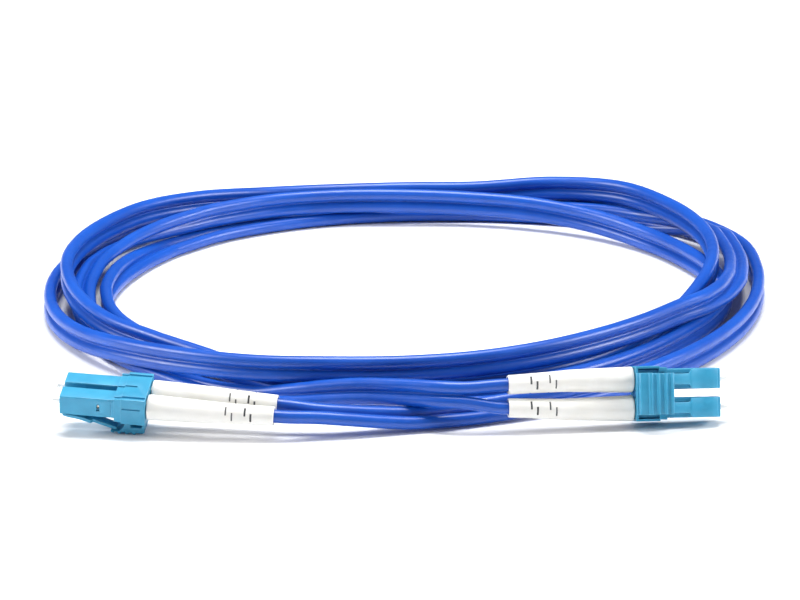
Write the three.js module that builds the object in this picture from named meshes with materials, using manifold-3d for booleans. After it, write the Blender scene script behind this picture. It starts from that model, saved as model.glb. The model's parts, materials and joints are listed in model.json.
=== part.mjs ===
// Duplex fibre optic patch cord: one length of zipcord coiled four times on a table,
// with a two-plug connector (boots, plugs, shared clip and trigger) at each end.
// Millimetres, +Z up. The parts are laid out round the coil's centre with the table at z = 0.
import * as THREE from "three";
import { mergeVertices } from "three/addons/utils/BufferGeometryUtils.js";
import Module from "manifold-3d";

const wasm = await Module();
wasm.setup();

// ---- driving dimensions -------------------------------------------------
const LEG_R = 1.5; // one round leg of the zipcord
const LEG_PITCH = 3.1; // leg centre to leg centre
const WEB_HALF = 0.4; // half thickness of the web between the legs
const LEG_SIDES = 9; // vertices round the outside of a leg
const BORE_R = 1.05; // hollow of a leg, for fibre and yarn
const BORE_SIDES = 6;
const MAX_TWIST = 12; // degrees of lean between one ring and the next
const FIBRE_R = 0.45; // 0.9 mm buffered fibre
const FIBRE_OFFSET = 0.28;
const YARN_R = 0.2; // aramid yarn bundle
const YARN_OFFSET = 0.56;
const RINGS_PER_TURN = 28;

const PLUG_PITCH = 6.25; // plug centre to plug centre
const BOOT_REAR_PITCH = 5.0; // boots lean together behind the plugs
const BOOT_LEAN_END = 13.5;
const BOOT_LENGTH = 27.6;
const BOOT_BORE_R = 1.78;
const BOOT_FRONT_BORE_R = 2.45;
const BOOT_STEP = 14.5; // where the boot opens out over the crimp sleeve

const JACKET_END = 19.2; // how far a jacket leg reaches into its boot
const YARN_END = 18.6;
const FIBRE_END = 36.0;

const BODY = 4.5; // square plug body
const BODY_REAR = 27.8;
const BODY_FRONT = 46.8;
const SEAT = 41.0; // the ferrule flange rests against this shoulder
const FERRULE_R = 0.625;
const FERRULE_TIP = 49.0;
const FERRULE_REAR = 38.9;
const NOSE_BORE_R = 0.95;
const CAVITY_R = 1.75;

const LATCH_TIP_X = 34.4;
const LATCH_WIDE = 4.2;
const LATCH_NARROW = 2.4;

const CLIP_REAR = 27.9;
const CLIP_FRONT = 34.8;
const CLIP_WIDTH = 12.0;
const CLIP_HALF_HEIGHT = 3.05;
const CLIP_HOLE = 4.7;
const TRIGGER_WIDTH = 9.0;
const TRIGGER_TOP = 6.5;

// connector ends: rear of the boots, pointing direction, and which way the latch side faces
const END_A = {
  at: [-27.55, -90.9, 5.8],
  front: [-0.9923, 0.1233, 0.046],
  latch: [0.01, 0.208, -0.975],
};
const END_B = {
  at: [22.8, -87.4, 7.85],
  front: [0.9877, 0.1522, -0.03],
  latch: [0.145, -0.944, 0.3],
};

// The lay of the cord: turns from the front centre (clockwise from above), radius and
// height of its middle, and the lean of its wide axis from upright in degrees.
const LAY = [
  [-0.0409, 90.33, 7.85, -17],
  [-0.030, 89.9, 8.1, -17],
  [-0.0195, 88.4, 8.3, -16],
  [0.000, 83.6, 7.5, -16],
  [0.024, 79.6, 6.1, -22],
  [0.047, 78.3, 3.9, -38],
  [0.072, 77.4, 1.95, -74],
  [0.100, 76.4, 1.7, -86],
  [0.131, 75.3, 1.7, -88],
  [0.175, 74.6, 1.7, -88],
  [0.200, 74.4, 2.1, -87],
  [0.230, 74.4, 3.6, -86],
  [0.260, 74.8, 5, -83],
  [0.300, 75, 5.7, -70],
  [0.340, 74.2, 6.1, -44],
  [0.375, 73, 6.3, -14],
  [0.410, 72.8, 6.35, 0],
  [0.455, 71.5, 6.2, 0],
  [0.500, 69.9, 6.1, 0],
  [0.543, 71.6, 5.5, 0],
  [0.587, 73.7, 5, 0],
  [0.611, 74.6, 4.2, 0],
  [0.636, 75.2, 3.4, 0],
  [0.673, 75.1, 3.15, 0],
  [0.750, 75.4, 3.15, 0],
  [0.784, 73.2, 3.15, 0],
  [0.834, 70.6, 3.15, 0],
  [0.880, 71.2, 3.15, 0],
  [0.930, 73.1, 3.2, -10],
  [0.980, 74, 2.95, -38],
  [1.015, 73.4, 2.85, -42],
  [1.045, 72, 2.95, -38],
  [1.080, 70.6, 3.9, -12],
  [1.110, 70, 5.4, 0],
  [1.150, 72.2, 6.4, 0],
  [1.190, 75.6, 7, 0],
  [1.250, 78.4, 9.4, 0],
  [1.283, 79, 9.4, 0],
  [1.320, 79.4, 9.3, 0],
  [1.360, 79.6, 9.1, 0],
  [1.392, 79.6, 7.9, 0],
  [1.422, 79.8, 6.3, 0],
  [1.450, 80, 5.2, 0],
  [1.500, 79.5, 5.1, 0],
  [1.533, 79.9, 5.6, 0],
  [1.548, 81, 6.5, 0],
  [1.560, 82.5, 7.2, 0],
  [1.575, 84.2, 7.8, 0],
  [1.592, 85.5, 8.5, 0],
  [1.607, 85.4, 9.1, 0],
  [1.620, 84.2, 9.25, 0],
  [1.636, 82.9, 9.3, 0],
  [1.653, 81.5, 9.3, 0],
  [1.679, 78.7, 9.3, 0],
  [1.703, 76.1, 9.3, 0],
  [1.726, 73.7, 9.3, 0],
  [1.749, 71.6, 9.2, 0],
  [1.771, 69.9, 8.8, 0],
  [1.787, 68.8, 8, 0],
  [1.806, 67.6, 6.6, 0],
  [1.850, 66.4, 4.3, 0],
  [1.900, 67, 3.25, 0],
  [2.000, 68, 3.15, 0],
  [2.060, 66.5, 3.15, 0],
  [2.125, 66.2, 3.15, 0],
  [2.190, 68.3, 3.15, 0],
  [2.250, 69.2, 3.15, 4],
  [2.280, 69.4, 3.1, 16],
  [2.310, 70, 2.65, 42],
  [2.345, 71.1, 1.95, 70],
  [2.380, 72.1, 1.6, 88],
  [2.450, 72.8, 1.6, 88],
  [2.500, 74.1, 1.6, 88],
  [2.525, 75.6, 1.6, 88],
  [2.550, 77.7, 2, 72],
  [2.575, 80.3, 2.55, 48],
  [2.600, 83, 2.95, 22],
  [2.620, 84.9, 3.15, 0],
  [2.635, 85.9, 4, -24],
  [2.650, 86.4, 5.2, -46],
  [2.665, 86.2, 6.5, -64],
  [2.680, 84.8, 7.3, -74],
  [2.700, 82.4, 7.4, -76],
  [2.715, 80.5, 7.4, -70],
  [2.730, 79, 7.7, -72],
  [2.745, 77.9, 8.2, -66],
  [2.765, 76.4, 8.8, -48],
  [2.785, 74.9, 9.2, -22],
  [2.803, 73, 9.4, -5],
  [2.821, 70.5, 9.5, 0],
  [2.839, 69.3, 9.6, 0],
  [2.857, 69, 9.6, 0],
  [2.888, 68.8, 9.6, 0],
  [2.915, 69.1, 9.5, 0],
  [2.950, 70, 9.2, 0],
  [2.976, 70.6, 9.1, 0],
  [3.000, 71.5, 9, 0],
  [3.025, 73, 9, 0],
  [3.048, 74.4, 8.8, 0],
  [3.074, 75.9, 8.1, 0],
  [3.100, 77, 7.4, 0],
  [3.130, 78.2, 6.4, 0],
  [3.170, 80, 4.4, 0],
  [3.200, 81.4, 3.4, 0],
  [3.250, 82.3, 3.15, 0],
  [3.375, 83.4, 3.15, 0],
  [3.450, 84.2, 3.15, 0],
  [3.500, 84.2, 3.15, 0],
  [3.530, 84.6, 3.15, 0],
  [3.560, 86.2, 3.15, 0],
  [3.590, 88.2, 3.15, 0],
  [3.620, 89.3, 3.15, 0],
  [3.640, 90.9, 3.15, 0],
  [3.658, 91.5, 3.15, 0],
  [3.680, 90, 3.15, 0],
  [3.700, 87.5, 3.15, 0],
  [3.734, 83.9, 3.15, 0],
  [3.772, 81.3, 3.15, 0],
  [3.815, 79.6, 3.15, 0],
  [3.857, 79.6, 3.15, 0],
  [3.900, 80.9, 3.15, 0],
  [3.930, 82.3, 3.2, 0],
  [3.950, 83.2, 3.2, -14],
  [3.975, 84.5, 2.75, -44],
  [4.000, 87.1, 2.75, -67],
  [4.0217, 90.7, 4.3, -76],
  [4.0395, 94.2, 5.5, -78],
  [4.0468, 94.98, 5.8, -78],
];

// ---- materials ----------------------------------------------------------
function material(colour, roughness, metalness) {
  return new THREE.MeshStandardMaterial({ color: colour, roughness, metalness });
}
const JACKET = material(0x2345c8, 0.42, 0);
const BOOT = material(0xf2f1ec, 0.5, 0);
const AQUA = material(0x3fa3c8, 0.4, 0);
const AQUA_CLIP = material(0x3a9cc2, 0.42, 0);
const CERAMIC = material(0xf7f6f2, 0.15, 0);
const METAL = material(0xb9bcc0, 0.3, 1);
const BRASS = material(0xc9c4b4, 0.35, 1);
const BUFFER = material(0xe8e6df, 0.5, 0);
const YARN = material(0xe6c229, 0.8, 0);

// ---- mesh helpers -------------------------------------------------------
const group = new THREE.Group();

function geometryOf(vertices, triangles) {
  const geometry = new THREE.BufferGeometry();
  geometry.setAttribute("position", new THREE.Float32BufferAttribute(vertices.flat(), 3));
  geometry.setIndex(triangles.flat());
  return geometry;
}

function solidOf(geometry) {
  const bare = geometry.clone();
  bare.deleteAttribute("normal");
  bare.deleteAttribute("uv");
  const merged = mergeVertices(bare, 1e-5);
  const mesh = new wasm.Mesh({
    numProp: 3,
    vertProperties: new Float32Array(merged.attributes.position.array),
    triVerts: new Uint32Array(merged.index.array),
  });
  return new wasm.Manifold(mesh);
}

function geometryFrom(solid) {
  const mesh = solid.getMesh();
  const geometry = new THREE.BufferGeometry();
  const positions = new Float32Array(mesh.vertProperties);
  geometry.setAttribute("position", new THREE.BufferAttribute(positions, 3));
  geometry.setIndex(new THREE.BufferAttribute(new Uint32Array(mesh.triVerts), 1));
  return geometry;
}

function box(x0, x1, y0, y1, z0, z1) {
  const geometry = new THREE.BoxGeometry(x1 - x0, y1 - y0, z1 - z0);
  geometry.translate((x0 + x1) / 2, (y0 + y1) / 2, (z0 + z1) / 2);
  return solidOf(geometry);
}

// Closed shell through rings of points; every ring runs anticlockwise seen from the far end.
function loft(rings) {
  const n = rings[0].length;
  const vertices = rings.flat();
  const triangles = [];
  for (let k = 0; k < rings.length - 1; k++) {
    for (let i = 0; i < n; i++) {
      const j = (i + 1) % n;
      const a = k * n + i;
      const b = k * n + j;
      triangles.push([a, b, b + n], [a, b + n, a + n]);
    }
  }
  const last = (rings.length - 1) * n;
  for (let i = 1; i < n - 1; i++) {
    triangles.push([0, i + 1, i], [last, last + i, last + i + 1]);
  }
  return geometryOf(vertices, triangles);
}

// Ring of a round section across the x axis.
function roundRing(x, y, z, radius, sides, turn = 0) {
  const ring = [];
  for (let i = 0; i < sides; i++) {
    const a = turn + (2 * Math.PI * i) / sides;
    ring.push([x, y + radius * Math.cos(a), z + radius * Math.sin(a)]);
  }
  return ring;
}

// Solid of revolution about a line parallel to x, from [x, radius] pairs.
function turned(profile, sides, y = 0, z = 0) {
  return solidOf(loft(profile.map(([x, r]) => roundRing(x, y, z, r, sides, Math.PI / sides))));
}

// Extrusion of an x-z outline (anticlockwise seen from -y) across the y axis.
function slab(outline, y0, y1) {
  const near = outline.map(([x, z]) => [x, y0, z]);
  const far = outline.map(([x, z]) => [x, y1, z]);
  const n = outline.length;
  const faces = THREE.ShapeUtils.triangulateShape(outline.map(([x, z]) => new THREE.Vector2(x, z)), []);
  const triangles = [];
  for (const [a, b, c] of faces) {
    triangles.push([a, b, c], [n + a, n + c, n + b]);
  }
  for (let i = 0; i < n; i++) {
    const j = (i + 1) % n;
    triangles.push([i, n + i, n + j], [i, n + j, j]);
  }
  return solidOf(geometryOf([...near, ...far], triangles));
}

function addMesh(parent, name, geometry, surface) {
  const mesh = new THREE.Mesh(geometry, surface);
  mesh.name = name;
  parent.add(mesh);
}

// ---- connector parts, in the connector's own frame ------------------------
// x runs from the boot's rear to the ferrule tip, y across the two plugs, z to the latch side.

// Distance of a leg's centre from the connector's middle, x along the connector.
function legOffset(x) {
  const t = Math.min(Math.max(x / BOOT_LEAN_END, 0), 1);
  return (BOOT_REAR_PITCH + (PLUG_PITCH - BOOT_REAR_PITCH) * t) / 2;
}

function bootRings(profile, sides, side) {
  return profile.map(([x, r]) => roundRing(x, side * legOffset(x), 0, r, sides, Math.PI / sides));
}

// Strain relief boot: slim collar, four shallow bending grooves, then a smooth taper.
function boot(side) {
  const outer = bootRings(
    [
      [0, 2.1],
      [4.4, 2.16],
      [4.5, 1.98],
      [5.1, 1.98],
      [5.2, 2.2],
      [6.2, 2.22],
      [6.3, 2.02],
      [6.9, 2.02],
      [7.0, 2.24],
      [8.5, 2.27],
      [8.6, 2.12],
      [9.0, 2.12],
      [9.1, 2.3],
      [BOOT_LEAN_END, 2.42],
      [BOOT_LENGTH, 2.84],
    ],
    14,
    side,
  );
  const inner = bootRings(
    [
      [-0.5, BOOT_BORE_R],
      [0, BOOT_BORE_R],
      [BOOT_LEAN_END, BOOT_BORE_R],
      [BOOT_STEP, BOOT_BORE_R],
      [BOOT_STEP + 0.2, 2.13],
      [18.9, 2.13],
      [19.1, BOOT_FRONT_BORE_R],
      [BOOT_LENGTH + 0.5, BOOT_FRONT_BORE_R],
    ],
    10,
    side,
  );
  return solidOf(loft(outer)).subtract(solidOf(loft(inner)));
}

// Stepped metal sleeve: the small end grips the jacket, the large end grips the back post.
function crimpSleeve(y) {
  const outer = turned([[15.0, 2.0], [19.0, 2.0], [19.4, 2.3], [24.4, 2.3]], 10, y);
  const inner = turned([[14.5, 1.62], [19.3, 1.62], [19.5, 1.98], [25.0, 1.98]], 10, y);
  return outer.subtract(inner);
}

// Back post with its head, closing the rear of the plug body.
function rearBody(y) {
  const outer = turned([[20.0, 1.9], [26.0, 1.9], [26.1, 2.15], [27.6, 2.15], [27.61, 1.68], [30.2, 1.68]], 10, y);
  const inner = turned([[19.5, 0.8], [31.0, 0.8]], 8, y);
  return outer.subtract(inner);
}

function plugHousing(y) {
  const half = BODY / 2;
  let body = box(BODY_REAR, BODY_FRONT, y - half, y + half, -half, half);
  body = body.subtract(turned([[BODY_REAR - 1, CAVITY_R], [SEAT, CAVITY_R]], 10, y));
  body = body.subtract(turned([[SEAT - 0.5, NOSE_BORE_R], [BODY_FRONT + 1, NOSE_BORE_R]], 10, y));
  // flat recess under the latch arm, and small windows in the two flanks
  body = body.subtract(box(36.4, 43.6, y - 1.35, y + 1.35, 2.0, 3.0));
  body = body.subtract(box(39.2, 40.2, y - 3, y - 2.0, -0.9, 0.9));
  return body.subtract(box(39.2, 40.2, y + 2.0, y + 3, -0.9, 0.9));
}

// Cantilever latch: wide root block near the nose, narrow arm rising towards the trigger.
function latchArm(y) {
  const side = [
    [46.2, 2.32],
    [46.2, 2.62],
    [44.8, 3.0],
    [42.6, 3.25],
    [LATCH_TIP_X + 0.5, 5.65],
    [LATCH_TIP_X, 5.5],
    [LATCH_TIP_X, 5.0],
    [42.4, 2.64],
    [43.6, 2.48],
    [44.9, 2.33],
  ];
  const arm = slab(side, y - LATCH_WIDE / 2, y + LATCH_WIDE / 2);
  const gap = (LATCH_WIDE - LATCH_NARROW) / 2 + 1;
  const edge = LATCH_NARROW / 2;
  const left = box(LATCH_TIP_X - 1, 39.9, y - edge - gap, y - edge, 2, 7);
  const right = box(LATCH_TIP_X - 1, 39.9, y + edge, y + edge + gap, 2, 7);
  return arm.subtract(left).subtract(right);
}

function ferrule(y) {
  const rings = [[FERRULE_REAR, FERRULE_R], [FERRULE_TIP - 0.25, FERRULE_R], [FERRULE_TIP, 0.45]];
  return turned(rings, 14, y);
}

// Metal flange that carries the ferrule; its tail guides the spring.
function ferruleFlange(y) {
  const outer = turned([[34.2, 0.9], [38.2, 0.9], [38.21, 1.45], [SEAT - 0.05, 1.45]], 10, y);
  const front = turned([[38.7, 0.68], [SEAT + 1, 0.68]], 14, y);
  const rear = turned([[33.5, 0.6], [38.9, 0.6]], 8, y);
  return outer.subtract(front).subtract(rear);
}

function ferruleSpring(y) {
  const turns = 5;
  const steps = 7 * turns;
  const coil = 1.28;
  const wire = 0.16;
  const rings = [];
  for (let k = 0; k <= steps; k++) {
    const t = k / steps;
    const a = 2 * Math.PI * turns * t;
    const x = 30.5 + 7.4 * t;
    const radial = [0, Math.cos(a), Math.sin(a)];
    const ring = [];
    for (let i = 0; i < 4; i++) {
      const b = -(2 * Math.PI * i) / 4;
      const r = coil + wire * Math.cos(b);
      ring.push([x + wire * Math.sin(b), y + radial[1] * r, radial[2] * r]);
    }
    rings.push(ring);
  }
  return loft(rings);
}

// Clip that holds the two plugs side by side, with a hinge ridge for the trigger.
function clipBody() {
  const h = CLIP_HALF_HEIGHT;
  const w = CLIP_WIDTH / 2;
  let clip = box(CLIP_REAR, CLIP_FRONT, -w, w, -h, h);
  for (const side of [-1, 1]) {
    const y = (side * PLUG_PITCH) / 2;
    const half = CLIP_HOLE / 2;
    clip = clip.subtract(box(CLIP_REAR - 1, CLIP_FRONT + 1, y - half, y + half, -half, half));
    // groove along the outer flank and a notch over each latch arm
    clip = clip.subtract(box(29.2, CLIP_FRONT + 1, side * w - 0.25, side * w + 0.25, -0.35, 0.35));
    clip = clip.subtract(box(33.2, CLIP_FRONT + 1, y - 1.6, y + 1.6, 1, h + 1));
  }
  // slot between the plugs, open to the front
  clip = clip.subtract(box(30.5, CLIP_FRONT + 1, -0.3, 0.3, -h - 1, h + 1));
  const ridge = box(CLIP_REAR, 28.7, -TRIGGER_WIDTH / 2, TRIGGER_WIDTH / 2, h - 0.5, h + 0.75);
  return clip.add(ridge);
}

// Ribbed thumb trigger; its front lip hangs over both latch arms.
function clipTrigger() {
  const top = TRIGGER_TOP;
  const outline = [
    [28.2, 3.95],
    [28.7, 3.9],
    [28.9, 4.75],
    [31.3, 4.8],
    [31.4, 3.9],
    [32.6, 3.9],
    [32.8, 4.9],
    [33.9, 5.95],
    [35.6, 5.95],
    [35.8, 6.15],
    [35.4, top - 0.1],
    [34.9, top - 0.1],
    [34.8, top - 0.35],
    [34.2, top - 0.35],
    [34.1, top],
    [33.4, top],
    [33.3, top - 0.25],
    [32.6, top - 0.25],
    [32.5, top],
    [31.8, top],
    [31.7, top - 0.25],
    [31.0, top - 0.25],
    [30.9, top],
    [30.2, top],
    [30.1, top - 0.25],
    [29.4, top - 0.25],
    [29.3, top - 0.1],
    [28.7, top - 0.2],
    [28.2, 5.9],
  ];
  return slab(outline, -TRIGGER_WIDTH / 2, TRIGGER_WIDTH / 2);
}

function frameOf(end) {
  const x = new THREE.Vector3(...end.front).normalize();
  const z = new THREE.Vector3(...end.latch);
  const y = new THREE.Vector3().crossVectors(z, x).normalize();
  z.crossVectors(x, y).normalize();
  const matrix = new THREE.Matrix4().makeBasis(x, y, z);
  matrix.setPosition(...end.at);
  return matrix;
}

function connector(letter, end) {
  const holder = new THREE.Group();
  holder.name = `connector_${letter}`;
  holder.applyMatrix4(frameOf(end));
  for (const number of [1, 2]) {
    const side = number === 1 ? 1 : -1;
    const y = (side * PLUG_PITCH) / 2;
    const tag = `${letter}${number}`;
    addMesh(holder, `boot_${tag}`, geometryFrom(boot(side)), BOOT);
    addMesh(holder, `crimp_sleeve_${tag}`, geometryFrom(crimpSleeve(y)), METAL);
    addMesh(holder, `rear_body_${tag}`, geometryFrom(rearBody(y)), METAL);
    addMesh(holder, `plug_housing_${tag}`, geometryFrom(plugHousing(y)), AQUA);
    addMesh(holder, `latch_arm_${tag}`, geometryFrom(latchArm(y)), AQUA);
    addMesh(holder, `ferrule_${tag}`, geometryFrom(ferrule(y)), CERAMIC);
    addMesh(holder, `ferrule_flange_${tag}`, geometryFrom(ferruleFlange(y)), BRASS);
    addMesh(holder, `ferrule_spring_${tag}`, ferruleSpring(y), METAL);
  }
  addMesh(holder, `clip_body_${letter}`, geometryFrom(clipBody()), AQUA_CLIP);
  addMesh(holder, `clip_trigger_${letter}`, geometryFrom(clipTrigger()), AQUA_CLIP);
  group.add(holder);
}

// ---- the cord -------------------------------------------------------------

// Radius, height and lean at a place along the lay, by a smooth curve through the table.
function layAt(s) {
  let i = 0;
  while (i < LAY.length - 2 && LAY[i + 1][0] <= s) {
    i += 1;
  }
  const here = LAY[i];
  const next = LAY[i + 1];
  const before = LAY[Math.max(i - 1, 0)];
  const after = LAY[Math.min(i + 2, LAY.length - 1)];
  const span = next[0] - here[0];
  const t = (s - here[0]) / span;
  const value = [];
  for (const c of [1, 2, 3]) {
    const slope0 = ((next[c] - before[c]) / (next[0] - before[0])) * span;
    const slope1 = ((after[c] - here[c]) / (after[0] - here[0])) * span;
    const t2 = t * t;
    const t3 = t2 * t;
    value.push(
      (2 * t3 - 3 * t2 + 1) * here[c] +
        (t3 - 2 * t2 + t) * slope0 +
        (3 * t2 - 2 * t3) * next[c] +
        (t3 - t2) * slope1,
    );
  }
  return value;
}

// Middle of the cord and its wide axis at s turns.
function station(s) {
  const [radius, height, lean] = layAt(s);
  const a = 2 * Math.PI * s;
  const out = new THREE.Vector3(-Math.sin(a), -Math.cos(a), 0);
  const tilt = THREE.MathUtils.degToRad(lean);
  const wide = new THREE.Vector3(0, 0, Math.cos(tilt)).addScaledVector(out, Math.sin(tilt));
  const middle = out.clone().multiplyScalar(radius);
  middle.z = height;
  return { middle, wide, along: null, spread: LEG_PITCH / 2 };
}

// Stations inside a connector, where the legs run straight down their boots.
function bootStation(matrix, x, direction) {
  const xAxis = new THREE.Vector3().setFromMatrixColumn(matrix, 0);
  const wide = new THREE.Vector3().setFromMatrixColumn(matrix, 1);
  const middle = new THREE.Vector3(x, 0, 0).applyMatrix4(matrix);
  return { middle, wide, along: xAxis.multiplyScalar(direction), spread: legOffset(x) };
}

// All stations of the cord between the two jacket ends, with square frames.
function cordStations() {
  const first = LAY[0][0];
  const last = LAY[LAY.length - 1][0];
  const list = [];
  const inB = frameOf(END_B);
  const inA = frameOf(END_A);
  for (const x of [FIBRE_END, YARN_END, JACKET_END, BOOT_LEAN_END, 0, -1.5]) {
    list.push({ ...bootStation(inB, x, -1), x });
  }
  list.sort((p, q) => q.x - p.x);
  const step = 1 / RINGS_PER_TURN;
  const places = [first + 0.022];
  for (let k = 0; k * step < last - 0.03; k++) {
    places.push(k * step);
  }
  places.push(last - 0.022);
  for (let k = 0; k < places.length; k++) {
    list.push({ ...station(places[k]), x: -10 });
    const twist = k + 1 < places.length ? layAt(places[k + 1])[2] - layAt(places[k])[2] : 0;
    const extra = Math.ceil(Math.abs(twist) / MAX_TWIST) - 1;
    for (let i = 1; i <= extra; i++) {
      const t = i / (extra + 1);
      list.push({ ...station(places[k] * (1 - t) + places[k + 1] * t), x: -10 });
    }
  }
  for (const x of [-1.5, 0, BOOT_LEAN_END, YARN_END, JACKET_END, FIBRE_END]) {
    list.push({ ...bootStation(inA, x, 1), x });
  }
  for (let k = 0; k < list.length; k++) {
    const p = list[k];
    if (!p.along) {
      p.along = list[k + 1].middle.clone().sub(list[k - 1].middle).normalize();
    }
    p.wide.addScaledVector(p.along, -p.wide.dot(p.along)).normalize();
    p.thin = new THREE.Vector3().crossVectors(p.along, p.wide).normalize();
  }
  return list;
}

// Round section of one leg: centre and points, angle 0 pointing away from the other leg.
function legPoints(p, side, radius, sides, from, to, offset = 0) {
  const centre = p.middle.clone().addScaledVector(p.wide, side * p.spread);
  centre.addScaledVector(p.thin, offset);
  const closed = Math.abs(to - from) > 2 * Math.PI - 1e-6;
  const points = [];
  for (let i = 0; i < sides; i++) {
    const a = from + ((to - from) * i) / (closed ? sides : sides - 1);
    const q = centre.clone();
    q.addScaledVector(p.wide, side * radius * Math.cos(a));
    q.addScaledVector(p.thin, side * radius * Math.sin(a));
    points.push([q.x, q.y, q.z]);
  }
  return points;
}

// Zipcord jacket: two round legs joined by a web, torn apart just behind the boots,
// each leg hollow. The two bores are taken out of the shell as their own tubes.
function jacketShell(stations) {
  const n = LEG_SIDES;
  const web = Math.PI - Math.asin(WEB_HALF / LEG_R);
  const vertices = [];
  const triangles = [];
  const rings = stations.length;
  for (const p of stations) {
    vertices.push(...legPoints(p, 1, LEG_R, n, -web, web), ...legPoints(p, -1, LEG_R, n, -web, web));
  }
  const bores = 2 * n * rings;
  for (const p of stations) {
    for (const side of [1, -1]) {
      vertices.push(...legPoints(p, side, BORE_R, BORE_SIDES, 0, 2 * Math.PI));
    }
  }
  const m = BORE_SIDES;
  const quad = (a, b, c, d) => triangles.push([a, b, c], [a, c, d]);
  for (let k = 0; k < rings - 1; k++) {
    const torn = stations[k].x >= 0 || stations[k + 1].x >= 0;
    const base = k * 2 * n;
    const up = base + 2 * n;
    for (const leg of [0, n]) {
      for (let i = leg; i < leg + n - 1; i++) {
        quad(base + i, base + i + 1, up + i + 1, up + i);
      }
      if (torn) {
        quad(base + leg + n - 1, base + leg, up + leg, up + leg + n - 1);
      }
    }
    if (!torn) {
      quad(base + n - 1, base + n, up + n, up + n - 1);
      quad(base + 2 * n - 1, base, up, up + 2 * n - 1);
    }
    const tornNext = k < rings - 2 && (stations[k + 1].x >= 0 || stations[k + 2].x >= 0);
    if (k < rings - 2 && torn !== tornNext) {
      const web4 = [up, up + n - 1, up + n, up + 2 * n - 1];
      if (torn) {
        quad(web4[3], web4[2], web4[1], web4[0]);
      } else {
        quad(web4[0], web4[1], web4[2], web4[3]);
      }
    }
    for (const leg of [0, m]) {
      const low = bores + k * 2 * m + leg;
      const high = low + 2 * m;
      for (let i = 0; i < m; i++) {
        const j = (i + 1) % m;
        quad(low + j, low + i, high + i, high + j);
      }
    }
  }
  // ring-shaped end faces, outline to bore
  for (const [k, sign] of [[0, -1], [rings - 1, 1]]) {
    for (const [leg, hole] of [[0, 0], [n, m]]) {
      const outer = [];
      for (let i = 0; i < n; i++) {
        outer.push(k * 2 * n + leg + i);
      }
      const inner = [];
      for (let i = 0; i < m; i++) {
        inner.push(bores + k * 2 * m + hole + i);
      }
      endFace(vertices, outer, inner, stations[k], leg === 0 ? 1 : -1, sign, triangles);
    }
  }
  return geometryOf(vertices, triangles);
}

// Triangulates the flat ring between a leg's outline and its bore.
function endFace(vertices, outer, inner, p, side, sign, triangles) {
  const centre = p.middle.clone().addScaledVector(p.wide, side * p.spread);
  const flat = (index) => {
    const q = new THREE.Vector3(...vertices[index]).sub(centre);
    return new THREE.Vector2(q.dot(p.wide), q.dot(p.thin));
  };
  const faces = THREE.ShapeUtils.triangulateShape(outer.map(flat), [inner.map(flat)]);
  const all = [...outer, ...inner];
  for (const [a, b, c] of faces) {
    const u = flat(all[a]);
    const v = flat(all[b]);
    const w = flat(all[c]);
    const area = (v.x - u.x) * (w.y - u.y) - (v.y - u.y) * (w.x - u.x);
    const forward = area > 0;
    const keep = forward === sign > 0;
    triangles.push(keep ? [all[a], all[b], all[c]] : [all[a], all[c], all[b]]);
  }
}

// A strand inside one leg, beside the leg's centre while the jacket lasts and on it beyond.
function strand(stations, side, radius, sides, offset) {
  const rings = stations.map((p) => {
    const aside = p.x > YARN_END ? 0 : offset;
    return legPoints(p, side, radius, sides, 0, 2 * Math.PI, aside);
  });
  return loft(rings);
}

function cord() {
  const stations = cordStations();
  const holder = new THREE.Group();
  holder.name = "cord";
  const upTo = (end) => stations.filter((p) => p.x <= end);
  addMesh(holder, "cable_jacket", jacketShell(upTo(JACKET_END)), JACKET);
  for (const [letter, side] of [["a", 1], ["b", -1]]) {
    addMesh(holder, `fibre_${letter}`, strand(stations, side, FIBRE_R, 5, -FIBRE_OFFSET), BUFFER);
    addMesh(holder, `aramid_${letter}`, strand(upTo(YARN_END), side, YARN_R, 3, YARN_OFFSET), YARN);
  }
  group.add(holder);
}

cord();
connector("a", END_A);
connector("b", END_B);

// The row's origin is the middle of the whole object's footprint, at its lowest point.
const bounds = new THREE.Box3().setFromObject(group, true);
const middle = bounds.getCenter(new THREE.Vector3());
group.position.set(-middle.x, -middle.y, -bounds.min.z);

export default group;
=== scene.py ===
"""Looks for a coiled duplex fibre optic patch cord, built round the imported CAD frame.

Connector pieces are modelled in millimetres in a connector's own frame: x from the rear of the
boots to the ferrule tips, y across the two plugs, z to the latch side. They are then carried to
the row frame by the joints that the record states for that connector.
"""
import json
import math

import bmesh
import bpy
from mathutils import Matrix, Vector


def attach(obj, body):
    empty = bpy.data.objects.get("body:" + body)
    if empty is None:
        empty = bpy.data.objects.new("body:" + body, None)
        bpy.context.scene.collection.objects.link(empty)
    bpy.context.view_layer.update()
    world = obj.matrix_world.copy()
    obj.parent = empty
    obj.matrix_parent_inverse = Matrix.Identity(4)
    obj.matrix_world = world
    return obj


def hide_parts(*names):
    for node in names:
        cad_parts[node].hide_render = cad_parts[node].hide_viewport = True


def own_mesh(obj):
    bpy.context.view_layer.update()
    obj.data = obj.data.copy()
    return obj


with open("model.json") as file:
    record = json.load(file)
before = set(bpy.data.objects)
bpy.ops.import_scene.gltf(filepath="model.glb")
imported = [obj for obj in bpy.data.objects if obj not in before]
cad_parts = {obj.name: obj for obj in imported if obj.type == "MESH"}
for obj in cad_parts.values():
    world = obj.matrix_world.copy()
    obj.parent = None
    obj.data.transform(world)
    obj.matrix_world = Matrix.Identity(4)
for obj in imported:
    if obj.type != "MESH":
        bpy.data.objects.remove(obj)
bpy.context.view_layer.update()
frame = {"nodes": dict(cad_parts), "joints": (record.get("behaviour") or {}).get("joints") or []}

MM = 0.001
NODES = frame["nodes"]
JOINTS = {joint["name"]: joint for joint in frame["joints"]}

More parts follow.
